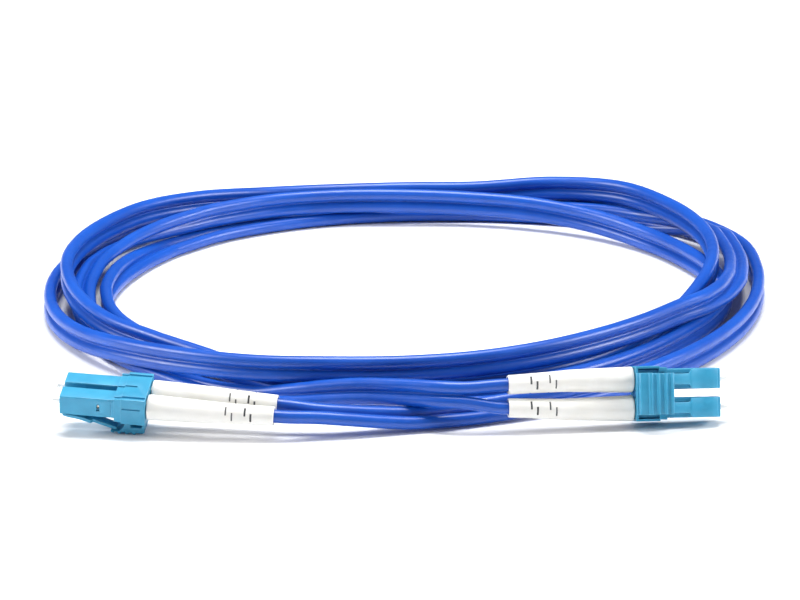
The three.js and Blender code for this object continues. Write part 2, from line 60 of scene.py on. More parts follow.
# ---- the connector's main measures, mm ------------------------------------
HINGE_X, HINGE_Z = 28.9, 3.95  # the trigger's hinge line
PLUG_Y = 3.125  # plug centre to connector middle
BOOT_REAR_Y = 2.5  # the same at the rear of the boots
BOOT_LEAN_END = 13.5  # from here the boots run straight
JACKET_END = 19.2
YARN_END = 18.6
STRAND_REAR, STRAND_END = 30.0, 36.0  # the buffered fibres inside a plug
LEG_R = 1.45  # 0.05 under the CAD's, to ease the places where passes press on one another
LEG_SPREAD = 1.55  # leg centre to the middle of the cord
FIBRE_R, FIBRE_OFFSET = 0.45, 0.28
YARN_R, YARN_OFFSET = 0.19, 0.56
FERRULE_R = 0.625
BODY_HALF = 2.25
BODY_REAR, BODY_FRONT = 27.8, 46.8
CLIP_REAR, CLIP_FRONT = 27.9, 34.8
CLIP_HALF_WIDTH = 6.0
CLIP_HALF_HEIGHT = 3.05
TRIGGER_HALF_WIDTH = 4.5
LATCH_HALF_WIDTH = 2.1


# ---- materials ------------------------------------------------------------
def new_material(name):
    material = bpy.data.materials.new(name)
    material.use_nodes = True
    tree = material.node_tree
    shader = tree.nodes["Principled BSDF"]
    return material, tree, shader


def noise(tree, scale, detail, rough=0.5, stretch=None):
    """Noise over the object's own coordinates, in units per metre."""
    place = tree.nodes.new("ShaderNodeTexCoord")
    source = place.outputs["Object"]
    if stretch:
        mapping = tree.nodes.new("ShaderNodeMapping")
        mapping.inputs["Scale"].default_value = stretch
        tree.links.new(source, mapping.inputs["Vector"])
        source = mapping.outputs["Vector"]
    texture = tree.nodes.new("ShaderNodeTexNoise")
    texture.inputs["Scale"].default_value = scale
    texture.inputs["Detail"].default_value = detail
    texture.inputs["Roughness"].default_value = rough
    tree.links.new(source, texture.inputs["Vector"])
    return texture.outputs["Fac"]


def ramp(tree, source, low, high, start=0.35, end=0.65):
    """Colour ramp between two colours or two grey values."""
    node = tree.nodes.new("ShaderNodeValToRGB")
    stops = node.color_ramp.elements
    for stop, place, value in ((stops[0], start, low), (stops[1], end, high)):
        stop.position = place
        stop.color = (*value, 1) if hasattr(value, "__len__") else (value, value, value, 1)
    tree.links.new(source, node.inputs["Fac"])
    return node.outputs["Color"]


def painted_edge_highlight(tree, colour, tint, strength):
    """Mixes a paler tint over convex edges: a painted highlight where the edges catch the light."""
    bevel = tree.nodes.new("ShaderNodeBevel")
    bevel.samples = 4
    bevel.inputs["Radius"].default_value = 0.25 * MM
    geometry = tree.nodes.new("ShaderNodeNewGeometry")
    dot = tree.nodes.new("ShaderNodeVectorMath")
    dot.operation = "DOT_PRODUCT"
    tree.links.new(bevel.outputs["Normal"], dot.inputs[0])
    tree.links.new(geometry.outputs["Normal"], dot.inputs[1])
    edge_highlight_mask = ramp(tree, dot.outputs["Value"], 1.0, 0.0, 0.82, 0.99)
    scaled = tree.nodes.new("ShaderNodeMath")
    scaled.operation = "MULTIPLY"
    scaled.inputs[1].default_value = strength
    tree.links.new(edge_highlight_mask, scaled.inputs[0])
    mix = tree.nodes.new("ShaderNodeMix")
    mix.data_type = "RGBA"
    tree.links.new(scaled.outputs["Value"], mix.inputs["Factor"])
    tree.links.new(colour, mix.inputs["A"])
    mix.inputs["B"].default_value = (*tint, 1)
    return mix.outputs["Result"]


def bump(tree, shader, height, strength, distance):
    node = tree.nodes.new("ShaderNodeBump")
    node.inputs["Strength"].default_value = strength
    node.inputs["Distance"].default_value = distance
    tree.links.new(height, node.inputs["Height"])
    tree.links.new(node.outputs["Normal"], shader.inputs["Normal"])


def plastic(name, dark, light, rough, grain, depth, **extra):
    """Moulded or extruded plastic: slow colour drift, uneven gloss and a fine surface grain."""
    material, tree, shader = new_material(name)
    drift = noise(tree, extra.get("drift", 120), 4)
    colour = ramp(tree, drift, dark, light)
    # Painted highlight: a paler tint along the piece's edges.
    if "edge" in extra:
        colour = painted_edge_highlight(tree, colour, extra["edge"], extra.get("edge_strength", 0.4))
    tree.links.new(colour, shader.inputs["Base Color"])
    gloss = noise(tree, extra.get("gloss", 700), 3)
    tree.links.new(ramp(tree, gloss, rough[0], rough[1]), shader.inputs["Roughness"])
    fine = noise(tree, grain, 6, 0.6)
    bump(tree, shader, fine, depth, 0.05 * MM)
    shader.inputs["IOR"].default_value = extra.get("ior", 1.48)
    if "under" in extra:
        shader.inputs["Subsurface Weight"].default_value = extra["under"]
        shader.inputs["Subsurface Radius"].default_value = (0.0012, 0.001, 0.0008)
        shader.inputs["Subsurface Scale"].default_value = 1.0
    shader.inputs["Coat Weight"].default_value = extra.get("coat", 0.0)
    shader.inputs["Coat Roughness"].default_value = 0.15
    shader.inputs["Specular IOR Level"].default_value = extra.get("specular", 0.5)
    return material


def metal(name, dark, light, rough, grain, stretch):
    """Turned or drawn metal with fine tool lines."""
    material, tree, shader = new_material(name)
    shader.inputs["Metallic"].default_value = 1.0
    lines = noise(tree, grain, 5, 0.6, stretch)
    tree.links.new(ramp(tree, lines, dark, light), shader.inputs["Base Color"])
    tree.links.new(ramp(tree, lines, rough[0], rough[1]), shader.inputs["Roughness"])
    bump(tree, shader, lines, 0.3, 0.02 * MM)
    return material


def yarn_material():
    """Aramid: hundreds of fine yellow filaments along the bundle."""
    material, tree, shader = new_material("aramid_yarn")
    strands = noise(tree, 2600, 4, 0.7, (1, 1, 0.25))
    colour = ramp(tree, strands, (0.50, 0.34, 0.05), (0.88, 0.70, 0.22))
    tree.links.new(colour, shader.inputs["Base Color"])
    shader.inputs["Roughness"].default_value = 0.6
    shader.inputs["Sheen Weight"].default_value = 0.5
    bump(tree, shader, strands, 0.7, 0.08 * MM)
    return material


JACKET = plastic(
    "jacket_blue", (0.002, 0.068, 0.42), (0.004, 0.088, 0.50), (0.30, 0.38), 5200, 0.2,
    drift=60, gloss=420, ior=1.5, specular=0.55,
)
# The edge tints of these plastics are painted highlights along their edges.
BOOT = plastic(
    "boot_white", (0.78, 0.77, 0.73), (0.84, 0.83, 0.80), (0.46, 0.58), 6500, 0.18,
    drift=140, under=0.18, edge=(0.95, 0.95, 0.93), edge_strength=0.3,
)
PLUG = plastic(
    "plug_aqua", (0.032, 0.288, 0.490), (0.046, 0.338, 0.555), (0.30, 0.40), 5200, 0.22,
    drift=170, under=0.06, edge=(0.20, 0.60, 0.80), edge_strength=0.45,
)
CLIP = plastic(
    "clip_aqua", (0.030, 0.276, 0.472), (0.044, 0.324, 0.535), (0.32, 0.42), 5200, 0.22,
    drift=170, under=0.06, edge=(0.20, 0.60, 0.80), edge_strength=0.45,
)
# Painted shade: dark grey on the faces inside the boots' bending slits, where they fall into
# shadow.
SLIT = plastic("boot_slit_shade", (0.10, 0.10, 0.105), (0.16, 0.16, 0.165), (0.6, 0.7), 6500, 0.1)
CERAMIC = plastic(
    "zirconia", (0.88, 0.87, 0.84), (0.92, 0.91, 0.89), (0.10, 0.16), 9000, 0.05,
    drift=300, coat=0.4, ior=2.1,
)
BUFFER = plastic("fibre_buffer", (0.74, 0.72, 0.66), (0.82, 0.80, 0.75), (0.4, 0.5), 7000, 0.1)
STEEL = metal("spring_steel", (0.55, 0.56, 0.58), (0.72, 0.73, 0.75), (0.22, 0.34), 4000, (1, 1, 1))
FLANGE = metal(
    "nickel_plate", (0.56, 0.53, 0.47), (0.68, 0.65, 0.58), (0.25, 0.38), 3500, (4, 1, 1)
)
CRIMP = metal("crimp_plate", (0.52, 0.53, 0.55), (0.68, 0.69, 0.71), (0.3, 0.42), 3000, (4, 1, 1))
YARN = yarn_material()


# ---- mesh helpers ---------------------------------------------------------
def raw_object(name, vertices, faces):
    mesh = bpy.data.meshes.new(name)
    mesh.from_pydata([tuple(v) for v in vertices], [], faces)
    mesh.validate()
    thing = bpy.data.objects.new(name, mesh)
    bpy.context.scene.collection.objects.link(thing)
    return thing


def outward(thing):
    """Turns every face of a closed mesh outwards."""
    work = bmesh.new()
    work.from_mesh(thing.data)
    bmesh.ops.recalc_face_normals(work, faces=work.faces)
    work.to_mesh(thing.data)
    work.free()
    return thing


def block(x, y, z):
    """Box between pairs of limits, for unions and cuts."""
    corners = [(x[i], y[j], z[k]) for i in (0, 1) for j in (0, 1) for k in (0, 1)]
    faces = [(0, 1, 3, 2), (4, 6, 7, 5), (0, 4, 5, 1), (2, 3, 7, 6), (0, 2, 6, 4), (1, 5, 7, 3)]
    return outward(raw_object("block", corners, faces))


def between(points):
    """Solid between an outline and its copy, given one after the other."""
    n = len(points) // 2
    faces = [tuple(range(n)), tuple(range(2 * n - 1, n - 1, -1))]
    faces += [(i, (i + 1) % n, n + (i + 1) % n, n + i) for i in range(n)]
    return outward(raw_object("prism", points, faces))


def prism(outline, y0, y1):
    """x-z outline carried across y."""
    return between([(x, y, z) for y in (y0, y1) for x, z in outline])


def plan_prism(outline, z0, z1):
    """x-y outline carried up z."""
    return between([(x, y, z) for z in (z0, z1) for x, y in outline])


def ring(x, y, radius, sides):
    angles = [2 * math.pi * i / sides for i in range(sides)]
    return [(x, y + radius * math.cos(a), radius * math.sin(a)) for a in angles]


def loft(rings):
    """Skin over rings of points, with flat ends."""
    n = len(rings[0])
    points = [p for one in rings for p in one]
    count = len(rings)
    faces = []
    for k in range(count - 1):
        low, high = k * n, (k + 1) * n
        faces += [(low + i, low + (i + 1) % n, high + (i + 1) % n, high + i) for i in range(n)]
    faces += [tuple(range(n - 1, -1, -1)), tuple((count - 1) * n + i for i in range(n))]
    return outward(raw_object("loft", points, faces))


def turned(profile, sides, y):
    return loft([ring(x, y, r, sides) for x, r in profile])


def baked(thing, modifiers):
    """Applies modifiers given as (type, {settings}) and keeps the result as the mesh."""
    for kind, settings in modifiers:
        modifier = thing.modifiers.new(kind, kind)
        for key, value in settings.items():
            setattr(modifier, key, value)
    graph = bpy.context.evaluated_depsgraph_get()
    result = bpy.data.meshes.new_from_object(thing.evaluated_get(graph))
    thing.modifiers.clear()
    old = thing.data
    thing.data = result
    bpy.data.meshes.remove(old)
    return thing


def combine(thing, others, operation):
    for other in others:
        settings = {"operation": operation, "object": other, "solver": "EXACT"}
        baked(thing, [("BOOLEAN", settings)])
        bpy.data.objects.remove(other)
    return thing


def cut(thing, *others):
    return combine(thing, others, "DIFFERENCE")


def join(thing, *others):
    return combine(thing, others, "UNION")


def softened(thing, width, angle=28):
    """Rounds the edges of a moulded piece."""
    settings = {
        "width": width,
        "segments": 2,
        "limit_method": "ANGLE",
        "angle_limit": math.radians(angle),
        "harden_normals": False,
        "use_clamp_overlap": True,
    }
    return baked(thing, [("BEVEL", settings)])


def smooth(thing, angle=40):
    """Smooth shading, kept sharp where faces meet at more than the angle."""
    work = bmesh.new()
    work.from_mesh(thing.data)
    for face in work.faces:
        face.smooth = True
    for edge in work.edges:
        if len(edge.link_faces) == 2:
            edge.smooth = edge.calc_face_angle(0) < math.radians(angle)
    work.to_mesh(thing.data)
    work.free()
    return thing


def finished(thing, name, place, body, material, stands_for, shaded=None):
    """Names a piece, moves it to the row frame and hands it to its CAD body.

    shaded is a second material with the indices of the faces that take it.
    """
    thing.name = name
    thing.data.name = name
    thing.data.materials.clear()
    thing.data.materials.append(material)
    if shaded:
        thing.data.materials.append(shaded[0])
    chosen = set(shaded[1]) if shaded else set()
    for polygon in thing.data.polygons:
        polygon.material_index = 1 if polygon.index in chosen else 0
    thing.data.transform(place)
    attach(thing, body)
    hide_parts(*stands_for)
    return thing


def connector_place(letter):
    """Matrix from a connector's millimetres to the row frame."""
    press = JOINTS[f"trigger_{letter}_press"]
    x = -Vector(JOINTS[f"ferrule_{letter}1_slide"]["axis"]).normalized()
    y = Vector(press["axis"]).normalized()
    z = x.cross(y).normalized()
    y = z.cross(x)
    origin = Vector(press["pos_m"]) - x * HINGE_X * MM - z * HINGE_Z * MM
    turn = Matrix((x, y, z)).transposed().to_4x4()
    return Matrix.Translation(origin) @ turn @ Matrix.Scale(MM, 4)


# ---- connector pieces -----------------------------------------------------
def leg_y(x):
    """Distance of a leg's centre from the connector's middle at x."""
    t = min(max(x / BOOT_LEAN_END, 0), 1)
    return BOOT_REAR_Y + (PLUG_Y - BOOT_REAR_Y) * t


def arc_cutter(x0, x1, side, depth, start, end):
    """Slit cut down to the radius depth in the boot's wall, from one angle to another."""
    steps, outside = 14, 3.2
    y = side * leg_y((x0 + x1) / 2)
    corners = [(x0, depth), (x1, depth), (x1, outside), (x0, outside)]
    rings = []
    for k in range(steps + 1):
        a = math.radians(start + (end - start) * k / steps)
        rings.append([(x, y + r * math.cos(a), r * math.sin(a)) for x, r in corners])
    return loft(rings)


BOOT_SLITS = (  # from x, to x, bottom radius, angle of the first of three
    (4.70, 5.12, 1.87, 70),
    (6.03, 6.45, 1.87, 104),
    (8.86, 9.20, 2.02, 70),
    (10.23, 10.57, 2.05, 104),
)
SLIT_HALF_ANGLE = 25


def boot(side):
    """Soft sleeve: rounded lip, four rows of staggered bending slits, long taper."""
    outer = [
        (0.0, 1.98), (0.1, 2.06), (0.28, 2.10), (2.2, 2.13), (4.4, 2.16), (5.6, 2.185),
        (7.0, 2.22), (8.5, 2.25), (9.7, 2.275), (11.0, 2.31), (12.2, 2.355), (13.5, 2.42),
        (15.5, 2.485), (18, 2.56), (21, 2.65), (24, 2.735), (26.4, 2.8), (27.1, 2.82),
        (27.42, 2.79), (27.6, 2.68),
    ]
    inner = [
        (-0.5, 1.78), (0, 1.78), (BOOT_LEAN_END, 1.78), (14.5, 1.78), (14.7, 2.13),
        (18.9, 2.13), (19.1, 2.45), (28.1, 2.45),
    ]
    shape = loft([ring(x, side * leg_y(x), r, 56) for x, r in outer])
    hollow = loft([ring(x, side * leg_y(x), r, 40) for x, r in inner])
    slots = []
    for x0, x1, depth, turn in BOOT_SLITS:
        for k in range(3):
            middle = turn + 120 * k
            ends = middle - SLIT_HALF_ANGLE, middle + SLIT_HALF_ANGLE
            slots.append(arc_cutter(x0, x1, side, depth, *ends))
    return smooth(cut(shape, hollow, *slots), 50)


def slit_faces(thing, side):
    """Faces of a boot inside its bending slits: short of the wall's outside, clear of the bore."""
    found = []
    for polygon in thing.data.polygons:
        x, y, z = polygon.center
        away = math.hypot(y - side * leg_y(x), z)
        surface = 2.12 + 0.013 * (x - 4.7)  # just under the boot's outside
        for x0, x1, depth, _ in BOOT_SLITS:
            if x0 - 0.01 < x < x1 + 0.01 and depth - 0.03 < away < surface:
                found.append(polygon.index)
                break
    return found


def rounded_square(x, y, half, corner):
    points = []
    for k, (sy, sz) in enumerate(((1, 1), (-1, 1), (-1, -1), (1, -1))):
        cy, cz = y + sy * (half - corner), sz * (half - corner)
        for i in range(6):
            a = math.radians(90 * k + 90 * i / 5)
            points.append((x, cy + corner * math.cos(a), cz + corner * math.sin(a)))
    return points


def plug_housing(y):
    """Square plug body with chamfered nose, port for the ferrule and a relief under the latch."""
    h = BODY_HALF
    sections = (  # x, growth of the half width, corner radius
        (BODY_REAR, -0.12, 0.3), (BODY_REAR + 0.15, 0.0, 0.32),
        (BODY_FRONT - 0.15, 0.0, 0.3), (BODY_FRONT, -0.12, 0.28),
    )
    body = loft([rounded_square(x, y, h + grow, corner) for x, grow, corner in sections])
    cavity = turned([(BODY_REAR - 1, 1.75), (41, 1.75)], 40, y)
    nose = turned([(40.5, 0.95), (BODY_FRONT - 0.35, 0.95), (BODY_FRONT + 0.2, 1.45)], 40, y)
    relief = block((36.4, 43.4), (y - 1.35, y + 1.35), (2.0, 3.0))
    cuts = [cavity, nose, relief]
    for flank in (-1, 1):
        wall = sorted((y + flank * 1.7, y + flank * 3.0))
        cuts.append(prism([(38.1, -1.2), (38.5, -1.2), (38.75, 0.75), (37.95, 0.75)], *wall))
        shallow = sorted((y + flank * (h - 0.12), y + flank * 3.0))
        cuts.append(block((35.3, 35.5), shallow, (-3, 3)))
    return smooth(softened(cut(body, *cuts), 0.07))


def smooth_line(points, steps=6):
    """Points along a Catmull-Rom curve through the given ones."""
    out = []
    last = len(points) - 1
    for i in range(last):
        p0, p1 = points[max(i - 1, 0)], points[i]
        p2, p3 = points[i + 1], points[min(i + 2, last)]
        for k in range(steps):
            t = k / steps
            out.append(tuple(
                0.5 * (2 * b + (c - a) * t + (2 * a - 5 * b + 4 * c - d) * t * t
                       + (3 * b - a - 3 * c + d) * t ** 3)
                for a, b, c, d in zip(p0, p1, p2, p3)
            ))
    out.append(tuple(points[-1]))
    return out


def latch_arm(y):
    """Cantilever: wide foot on the nose of the plug, narrow tongue rising to the trigger."""
    foot = [(46.2, 2.34), (46.2, 2.58)]
    top = smooth_line([
        (46.0, 2.68), (44.8, 3.0), (43.0, 3.24), (41.6, 3.56), (39.5, 4.22), (37.2, 4.93),
        (35.1, 5.56),
    ])
    tip = [(34.75, 5.62), (34.45, 5.5), (34.4, 5.15)]
    under = smooth_line([
        (34.7, 5.0), (37.5, 4.12), (40.4, 3.2), (42.4, 2.66), (43.6, 2.49), (44.9, 2.34),
    ])
    arm = prism(foot + top + tip + under, y - LATCH_HALF_WIDTH, y + LATCH_HALF_WIDTH)
    shape = [
        (47, 1.85), (45.9, LATCH_HALF_WIDTH), (40.2, LATCH_HALF_WIDTH), (39.9, 1.9), (39.6, 1.3),
        (39.2, 1.2), (34.0, 1.15),
    ]
    plan = [(x, y + w) for x, w in shape] + [(x, y - w) for x, w in reversed(shape)]
    keep = plan_prism(plan, 2.0, 7.0)
    arm = combine(arm, [keep], "INTERSECT")
    return smooth(softened(arm, 0.09))


def clip_body():
    """Clip round both plugs: flanks with grooves, front lip, slots for the latches, hinge ridge."""
    h, w = CLIP_HALF_HEIGHT, CLIP_HALF_WIDTH
    step = 33.2
    body = block((CLIP_REAR, step), (-w, w), (-h, h))
    lip = block((step - 0.5, CLIP_FRONT), (-w + 0.3, w - 0.3), (-h + 0.3, h - 0.25))
    ridge = prism(
        [(CLIP_REAR, 2.5), (CLIP_REAR, 3.6), (28.1, 3.8), (28.7, 3.8), (28.8, 3.6), (28.8, 2.5)],
        -TRIGGER_HALF_WIDTH, TRIGGER_HALF_WIDTH,
    )
    body = join(body, lip, ridge)
    cuts = []
    for side in (-1, 1):
        y = side * PLUG_Y
        cuts.append(block((CLIP_REAR - 1, CLIP_FRONT + 1), (y - 2.35, y + 2.35), (-2.35, 2.35)))
        groove = sorted((side * (w - 0.28), side * (w + 1)))
        cuts.append(block((28.9, step - 0.25), groove, (-0.95, -0.45)))
        cuts.append(block((31.6, CLIP_FRONT + 1), (y - 1.6, y + 1.6), (1, h + 1)))
        flank = sorted((side * (TRIGGER_HALF_WIDTH + 0.12), side * (w - 0.5)))
        cuts.append(block((28.4, step - 0.2), flank, (h - 0.75, h + 1)))
        back = sorted((side * (w - 1.55), side * (w - 0.75)))
        cuts.append(block((28.0, CLIP_FRONT + 1), back, (-h - 1, -h + 0.6)))
    cuts.append(block((30.5, CLIP_FRONT + 1), (-0.3, 0.3), (-h - 1, h + 1)))
    return smooth(softened(cut(body, *cuts), 0.12))


def clip_trigger():
    """Thumb plate on a thin hinge, with cross ribs, a stop rib below and a lip over the latches."""
    top = smooth_line([(28.2, 5.75), (28.45, 6.0), (28.9, 6.1), (29.6, 6.1)], 3)
    ribs = []
    for x in (30.1, 31.7, 33.3):
        ribs += [
            (x, 6.1), (x + 0.1, 6.4), (x + 0.25, 6.49), (x + 0.65, 6.49), (x + 0.8, 6.4),
            (x + 0.9, 6.1),
        ]
    nose = [(34.8, 6.1), (34.95, 6.36), (35.35, 6.37), (35.62, 6.26), (35.78, 6.1), (35.6, 5.97)]
    under = [
        (33.95, 5.96), (33.6, 5.72), (33.0, 5.1), (32.8, 4.75), (32.6, 3.95), (31.4, 3.95),
        (31.25, 4.72), (30.9, 4.8), (29.2, 4.77), (28.9, 4.66), (28.7, 3.94), (28.22, 3.98),
    ]
    plate = prism(top + ribs + nose + under, -TRIGGER_HALF_WIDTH, TRIGGER_HALF_WIDTH)
    return smooth(softened(plate, 0.08, 32))


def ferrule(y):
    """Polished ceramic pin with its rounded tip."""
    shoulder, tip = 48.55, 49.0
    profile = [(38.9, FERRULE_R), (shoulder, FERRULE_R)]
    for k in range(1, 7):
        a = math.radians(15 * k)
        profile.append((shoulder + 0.4 * math.sin(a), 0.325 + 0.3 * math.cos(a)))
    profile.append((tip, 0.06))
    return smooth(turned(profile, 36, y), 50)


def build_connector(letter):
    place = connector_place(letter)
    for number, side in ((1, 1), (2, -1)):
        y = side * PLUG_Y
        tag = f"{letter}{number}"
        sleeve = boot(side)
        # The faces inside the slits take the painted shade.
        shade = (SLIT, slit_faces(sleeve, side))
        finished(sleeve, f"boot_{tag}_moulded", place, "cord", BOOT, [f"boot_{tag}"], shade)
        pieces = (
            (plug_housing(y), "plug_housing", "moulded", "cord", "plug", PLUG),
            (latch_arm(y), "latch_arm", "moulded", f"latch_{tag}", "plug", PLUG),
            (ferrule(y), "ferrule", "polished", f"ferrule_{tag}", "ceramic", CERAMIC),
        )
        for thing, kind, ending, body, slot, material in pieces:
            name = f"{kind}_{tag}_{ending}"
            finished(thing, name, place, body, material, [f"{kind}_{tag}"])
    finished(
        clip_body(), f"clip_{letter}_moulded", place, "cord", CLIP,
        [f"clip_body_{letter}"],
    )
    finished(
        clip_trigger(), f"trigger_{letter}_moulded", place, f"trigger_{letter}", CLIP,
        [f"clip_trigger_{letter}"],
    )


# ---- the cord -------------------------------------------------------------
CAD_STRAND_SIDES = 5


def strand_rings(node, start):
    """Centres of a CAD strand's rings, walked from the end that lies nearest to start."""
    mesh = NODES[node].data
    points, index_of, ids = [], {}, []
    for vertex in mesh.vertices:
        key = tuple(round(c, 6) for c in vertex.co)
        if key not in index_of:
            index_of[key] = len(points)
            points.append(Vector(vertex.co))
        ids.append(index_of[key])
    near = [set() for _ in points]
    for edge in mesh.edges:
        a, b = (ids[i] for i in edge.vertices)
        if a != b:
            near[a].add(b)
            near[b].add(a)
    layer = sorted(range(len(points)), key=lambda i: (points[i] - start).length)
    layer = layer[:CAD_STRAND_SIDES]
    seen = set(layer)
    centres = []
    while layer:
        centres.append(sum((points[i] for i in layer), Vector()) / len(layer))
        layer = sorted({j for i in layer for j in near[i]} - seen)
        seen.update(layer)
    return centres


def cord_line():
    """Middle and wide half axis of the cord at each CAD ring, from connector b to a."""
    place = connector_place("b")
    first = place @ Vector((STRAND_END, PLUG_Y, 0))
    first_b = place @ Vector((STRAND_END, -PLUG_Y, 0))
    plus = strand_rings("fibre_a", first)
    minus = strand_rings("fibre_b", first_b)
    middles, halves = [], []
    count = len(plus)
    for k in range(count):
        mean = (plus[k] + minus[k]) / 2
        half = (plus[k] - minus[k]) / 2
        after = plus[min(k + 1, count - 1)] + minus[min(k + 1, count - 1)]
        before = plus[max(k - 1, 0)] + minus[max(k - 1, 0)]
        thin = (after - before).cross(half).normalized()
        aside = FIBRE_OFFSET if 1 < k < count - 2 else 0
        middles.append(mean + thin * aside * MM)
        halves.append(half)
    return middles, halves


SWEEP_STEP = 1.5 * MM
LEG_POINTS = 22
WEB_HALF = 0.42
BORE_POINTS = 8
BORE_R = 1.05
TORN_LENGTH = 11.0  # how far behind the boots the two legs are torn apart
OPEN_SHARE = 0.8  # of that length, where no web is left
LOBE_DEPTH = 0.16  # of the yarn's radius
LOBE_TWIST = 0.35  # radians from one station to the next


def spline(points, k, t):
    """Catmull-Rom point between rings k and k + 1, allowing for their uneven spacing."""
    last = len(points) - 1
    p0, p1 = points[max(k - 1, 0)], points[k]
    p2, p3 = points[k + 1], points[min(k + 2, last)]
    d01 = max((p1[0] - p0[0]).length, 1e-9)
    d12 = (p2[0] - p1[0]).length
    d23 = max((p3[0] - p2[0]).length, 1e-9)
    out = []
    for i in range(len(p1)):
        slope1 = (p2[i] - p0[i]) / (d01 + d12) if k > 0 else (p2[i] - p1[i]) / d12
        slope2 = (p3[i] - p1[i]) / (d12 + d23) if k + 2 <= last else (p2[i] - p1[i]) / d12
        a, b = slope1 * d12, slope2 * d12
        t2, t3 = t * t, t * t * t
        out.append(
            p1[i] * (2 * t3 - 3 * t2 + 1) + a * (t3 - 2 * t2 + t)
            + p2[i] * (3 * t2 - 2 * t3) + b * (t3 - t2)
        )
    return out


def cord_stations():
    """Evenly spaced stations along the cord, jacket end to end: middle, axes, spread and x."""
    middles, halves = cord_line()
    wides = [half.normalized() for half in halves]
    points = list(zip(middles, wides))
    line = []
    for k in range(1, len(points) - 2):
        length = (points[k + 1][0] - points[k][0]).length
        steps = max(1, math.ceil(length / SWEEP_STEP))
        line += [spline(points, k, i / steps) for i in range(steps)]
    line.append(list(points[-2]))
    lengths = [0.0]
    for a, b in zip(line, line[1:]):
        lengths.append(lengths[-1] + (b[0] - a[0]).length)
    total = lengths[-1]
    stations = []
    for i, (middle, wide) in enumerate(line):
        ahead, behind = line[min(i + 1, len(line) - 1)][0], line[max(i - 1, 0)][0]
        along = (ahead - behind).normalized()
        wide = (wide - along * wide.dot(along)).normalized()
        end = min(lengths[i], total - lengths[i]) / MM  # distance from the nearer jacket end
        x = JACKET_END - end
        behind_boot = min(max(-x / TORN_LENGTH, 0), 1)
        ease = behind_boot * behind_boot * (3 - 2 * behind_boot)
        spread = leg_y(x) * (1 - ease) + LEG_SPREAD * ease
        stations.append({
            "middle": middle, "wide": wide, "thin": along.cross(wide),
            "spread": spread * MM, "x": x,
        })
    return stations


def leg_ring(p, side, radius, angles, offset=0.0):
    """Points round a leg's centre, with angle 0 on the cord's outer side."""
    wide, thin = p["wide"], p["thin"]
    centre = p["middle"] + wide * side * p["spread"] + thin * offset * MM
    reach = side * (radius * MM)
    return [
        centre + wide * (reach * math.cos(a)) + thin * (reach * math.sin(a)) for a in angles
    ]


def jacket(stations):
    """Zipcord jacket as one closed hollow skin: joined legs, torn apart behind the boots."""
    n, m, count = LEG_POINTS, BORE_POINTS, len(stations)
    web = math.pi - math.asin(WEB_HALF / LEG_R)
    apart = math.pi * (1 - 1 / n)
    torn = [p["x"] > -TORN_LENGTH * OPEN_SHARE for p in stations]
    points, faces = [], []
    for p, free in zip(stations, torn):
        limit = apart if free else web
        angles = [-limit + 2 * limit * i / (n - 1) for i in range(n)]
        points += leg_ring(p, 1, LEG_R, angles) + leg_ring(p, -1, LEG_R, angles)
    bores = len(points)
    circle = [2 * math.pi * i / m for i in range(m)]
    for p in stations:
        points += leg_ring(p, 1, BORE_R, circle) + leg_ring(p, -1, BORE_R, circle)
    for k in range(count - 1):
        low, up = k * 2 * n, (k + 1) * 2 * n
        open_here = torn[k] or torn[k + 1]
        for leg in (0, n):
            for i in range(leg, leg + n - 1):
                faces.append((low + i, low + i + 1, up + i + 1, up + i))
            if open_here:
                faces.append((low + leg + n - 1, low + leg, up + leg, up + leg + n - 1))
        if not open_here:
            faces.append((low + n - 1, low + n, up + n, up + n - 1))
            faces.append((low + 2 * n - 1, low, up, up + 2 * n - 1))
        if k < count - 2 and open_here != (torn[k + 1] or torn[k + 2]):
            web_end = (up, up + n - 1, up + n, up + 2 * n - 1)
            faces.append(web_end if not open_here else web_end[::-1])
        for leg in (0, m):
            low_bore, high_bore = bores + k * 2 * m + leg, bores + (k + 1) * 2 * m + leg
            for i in range(m):
                j = (i + 1) % m
                faces.append((low_bore + j, low_bore + i, high_bore + i, high_bore + j))
    for k, flip in ((0, False), (count - 1, True)):
        for leg, hole in ((0, 0), (n, m)):
            outer = [k * 2 * n + leg + i for i in range(n)]
            inner = [bores + k * 2 * m + hole + i for i in range(m)]
            faces += end_ring(outer, inner, flip)
    return smooth(raw_object("jacket", points, faces), 70)


def end_ring(outer, inner, flip):
    """Faces between a leg's outline, which starts opposite its bore's first point, and the bore."""
    n, m = len(outer), len(inner)
    order = [inner[(i + m // 2) % m] for i in range(m)]
    faces = []
    j = 0
    for i in range(n):
        nxt = (i + 1) % n
        want = round((i + 1) * m / n)
        face = [outer[i], outer[nxt]] + [order[q % m] for q in range(want, j - 1, -1)]
        faces.append(face[::-1] if not flip else face)
        j = want
    return faces


def strand(stations, side, radius, sides, offset, lobes=0):
    """Round or lobed strand inside one leg."""
    rings = []
    for k, p in enumerate(stations):
        aside = offset if p["x"] <= YARN_END else 0.0
        twist = k * LOBE_TWIST if lobes else 0.0
        one = []
        for i in range(sides):
            a = twist + 2 * math.pi * i / sides
            lobe = LOBE_DEPTH * math.cos(lobes * (a - twist)) if lobes else 0
            r = radius * (1 + lobe)
            one += leg_ring(p, side, r, [a], aside)
        rings.append(one)
    return smooth(loft(rings), 60)


def tail(letter, thin):
    """Stations inside a connector, beyond the jacket's end."""
    place = connector_place(letter)
    axes = place.to_3x3() * (1 / MM)
    return [
        {
            "middle": place @ Vector((x, 0, 0)), "wide": axes @ Vector((0, 1, 0)),
            "thin": thin, "spread": PLUG_Y * MM, "x": x,
        }
        for x in (STRAND_REAR, STRAND_END)
    ]


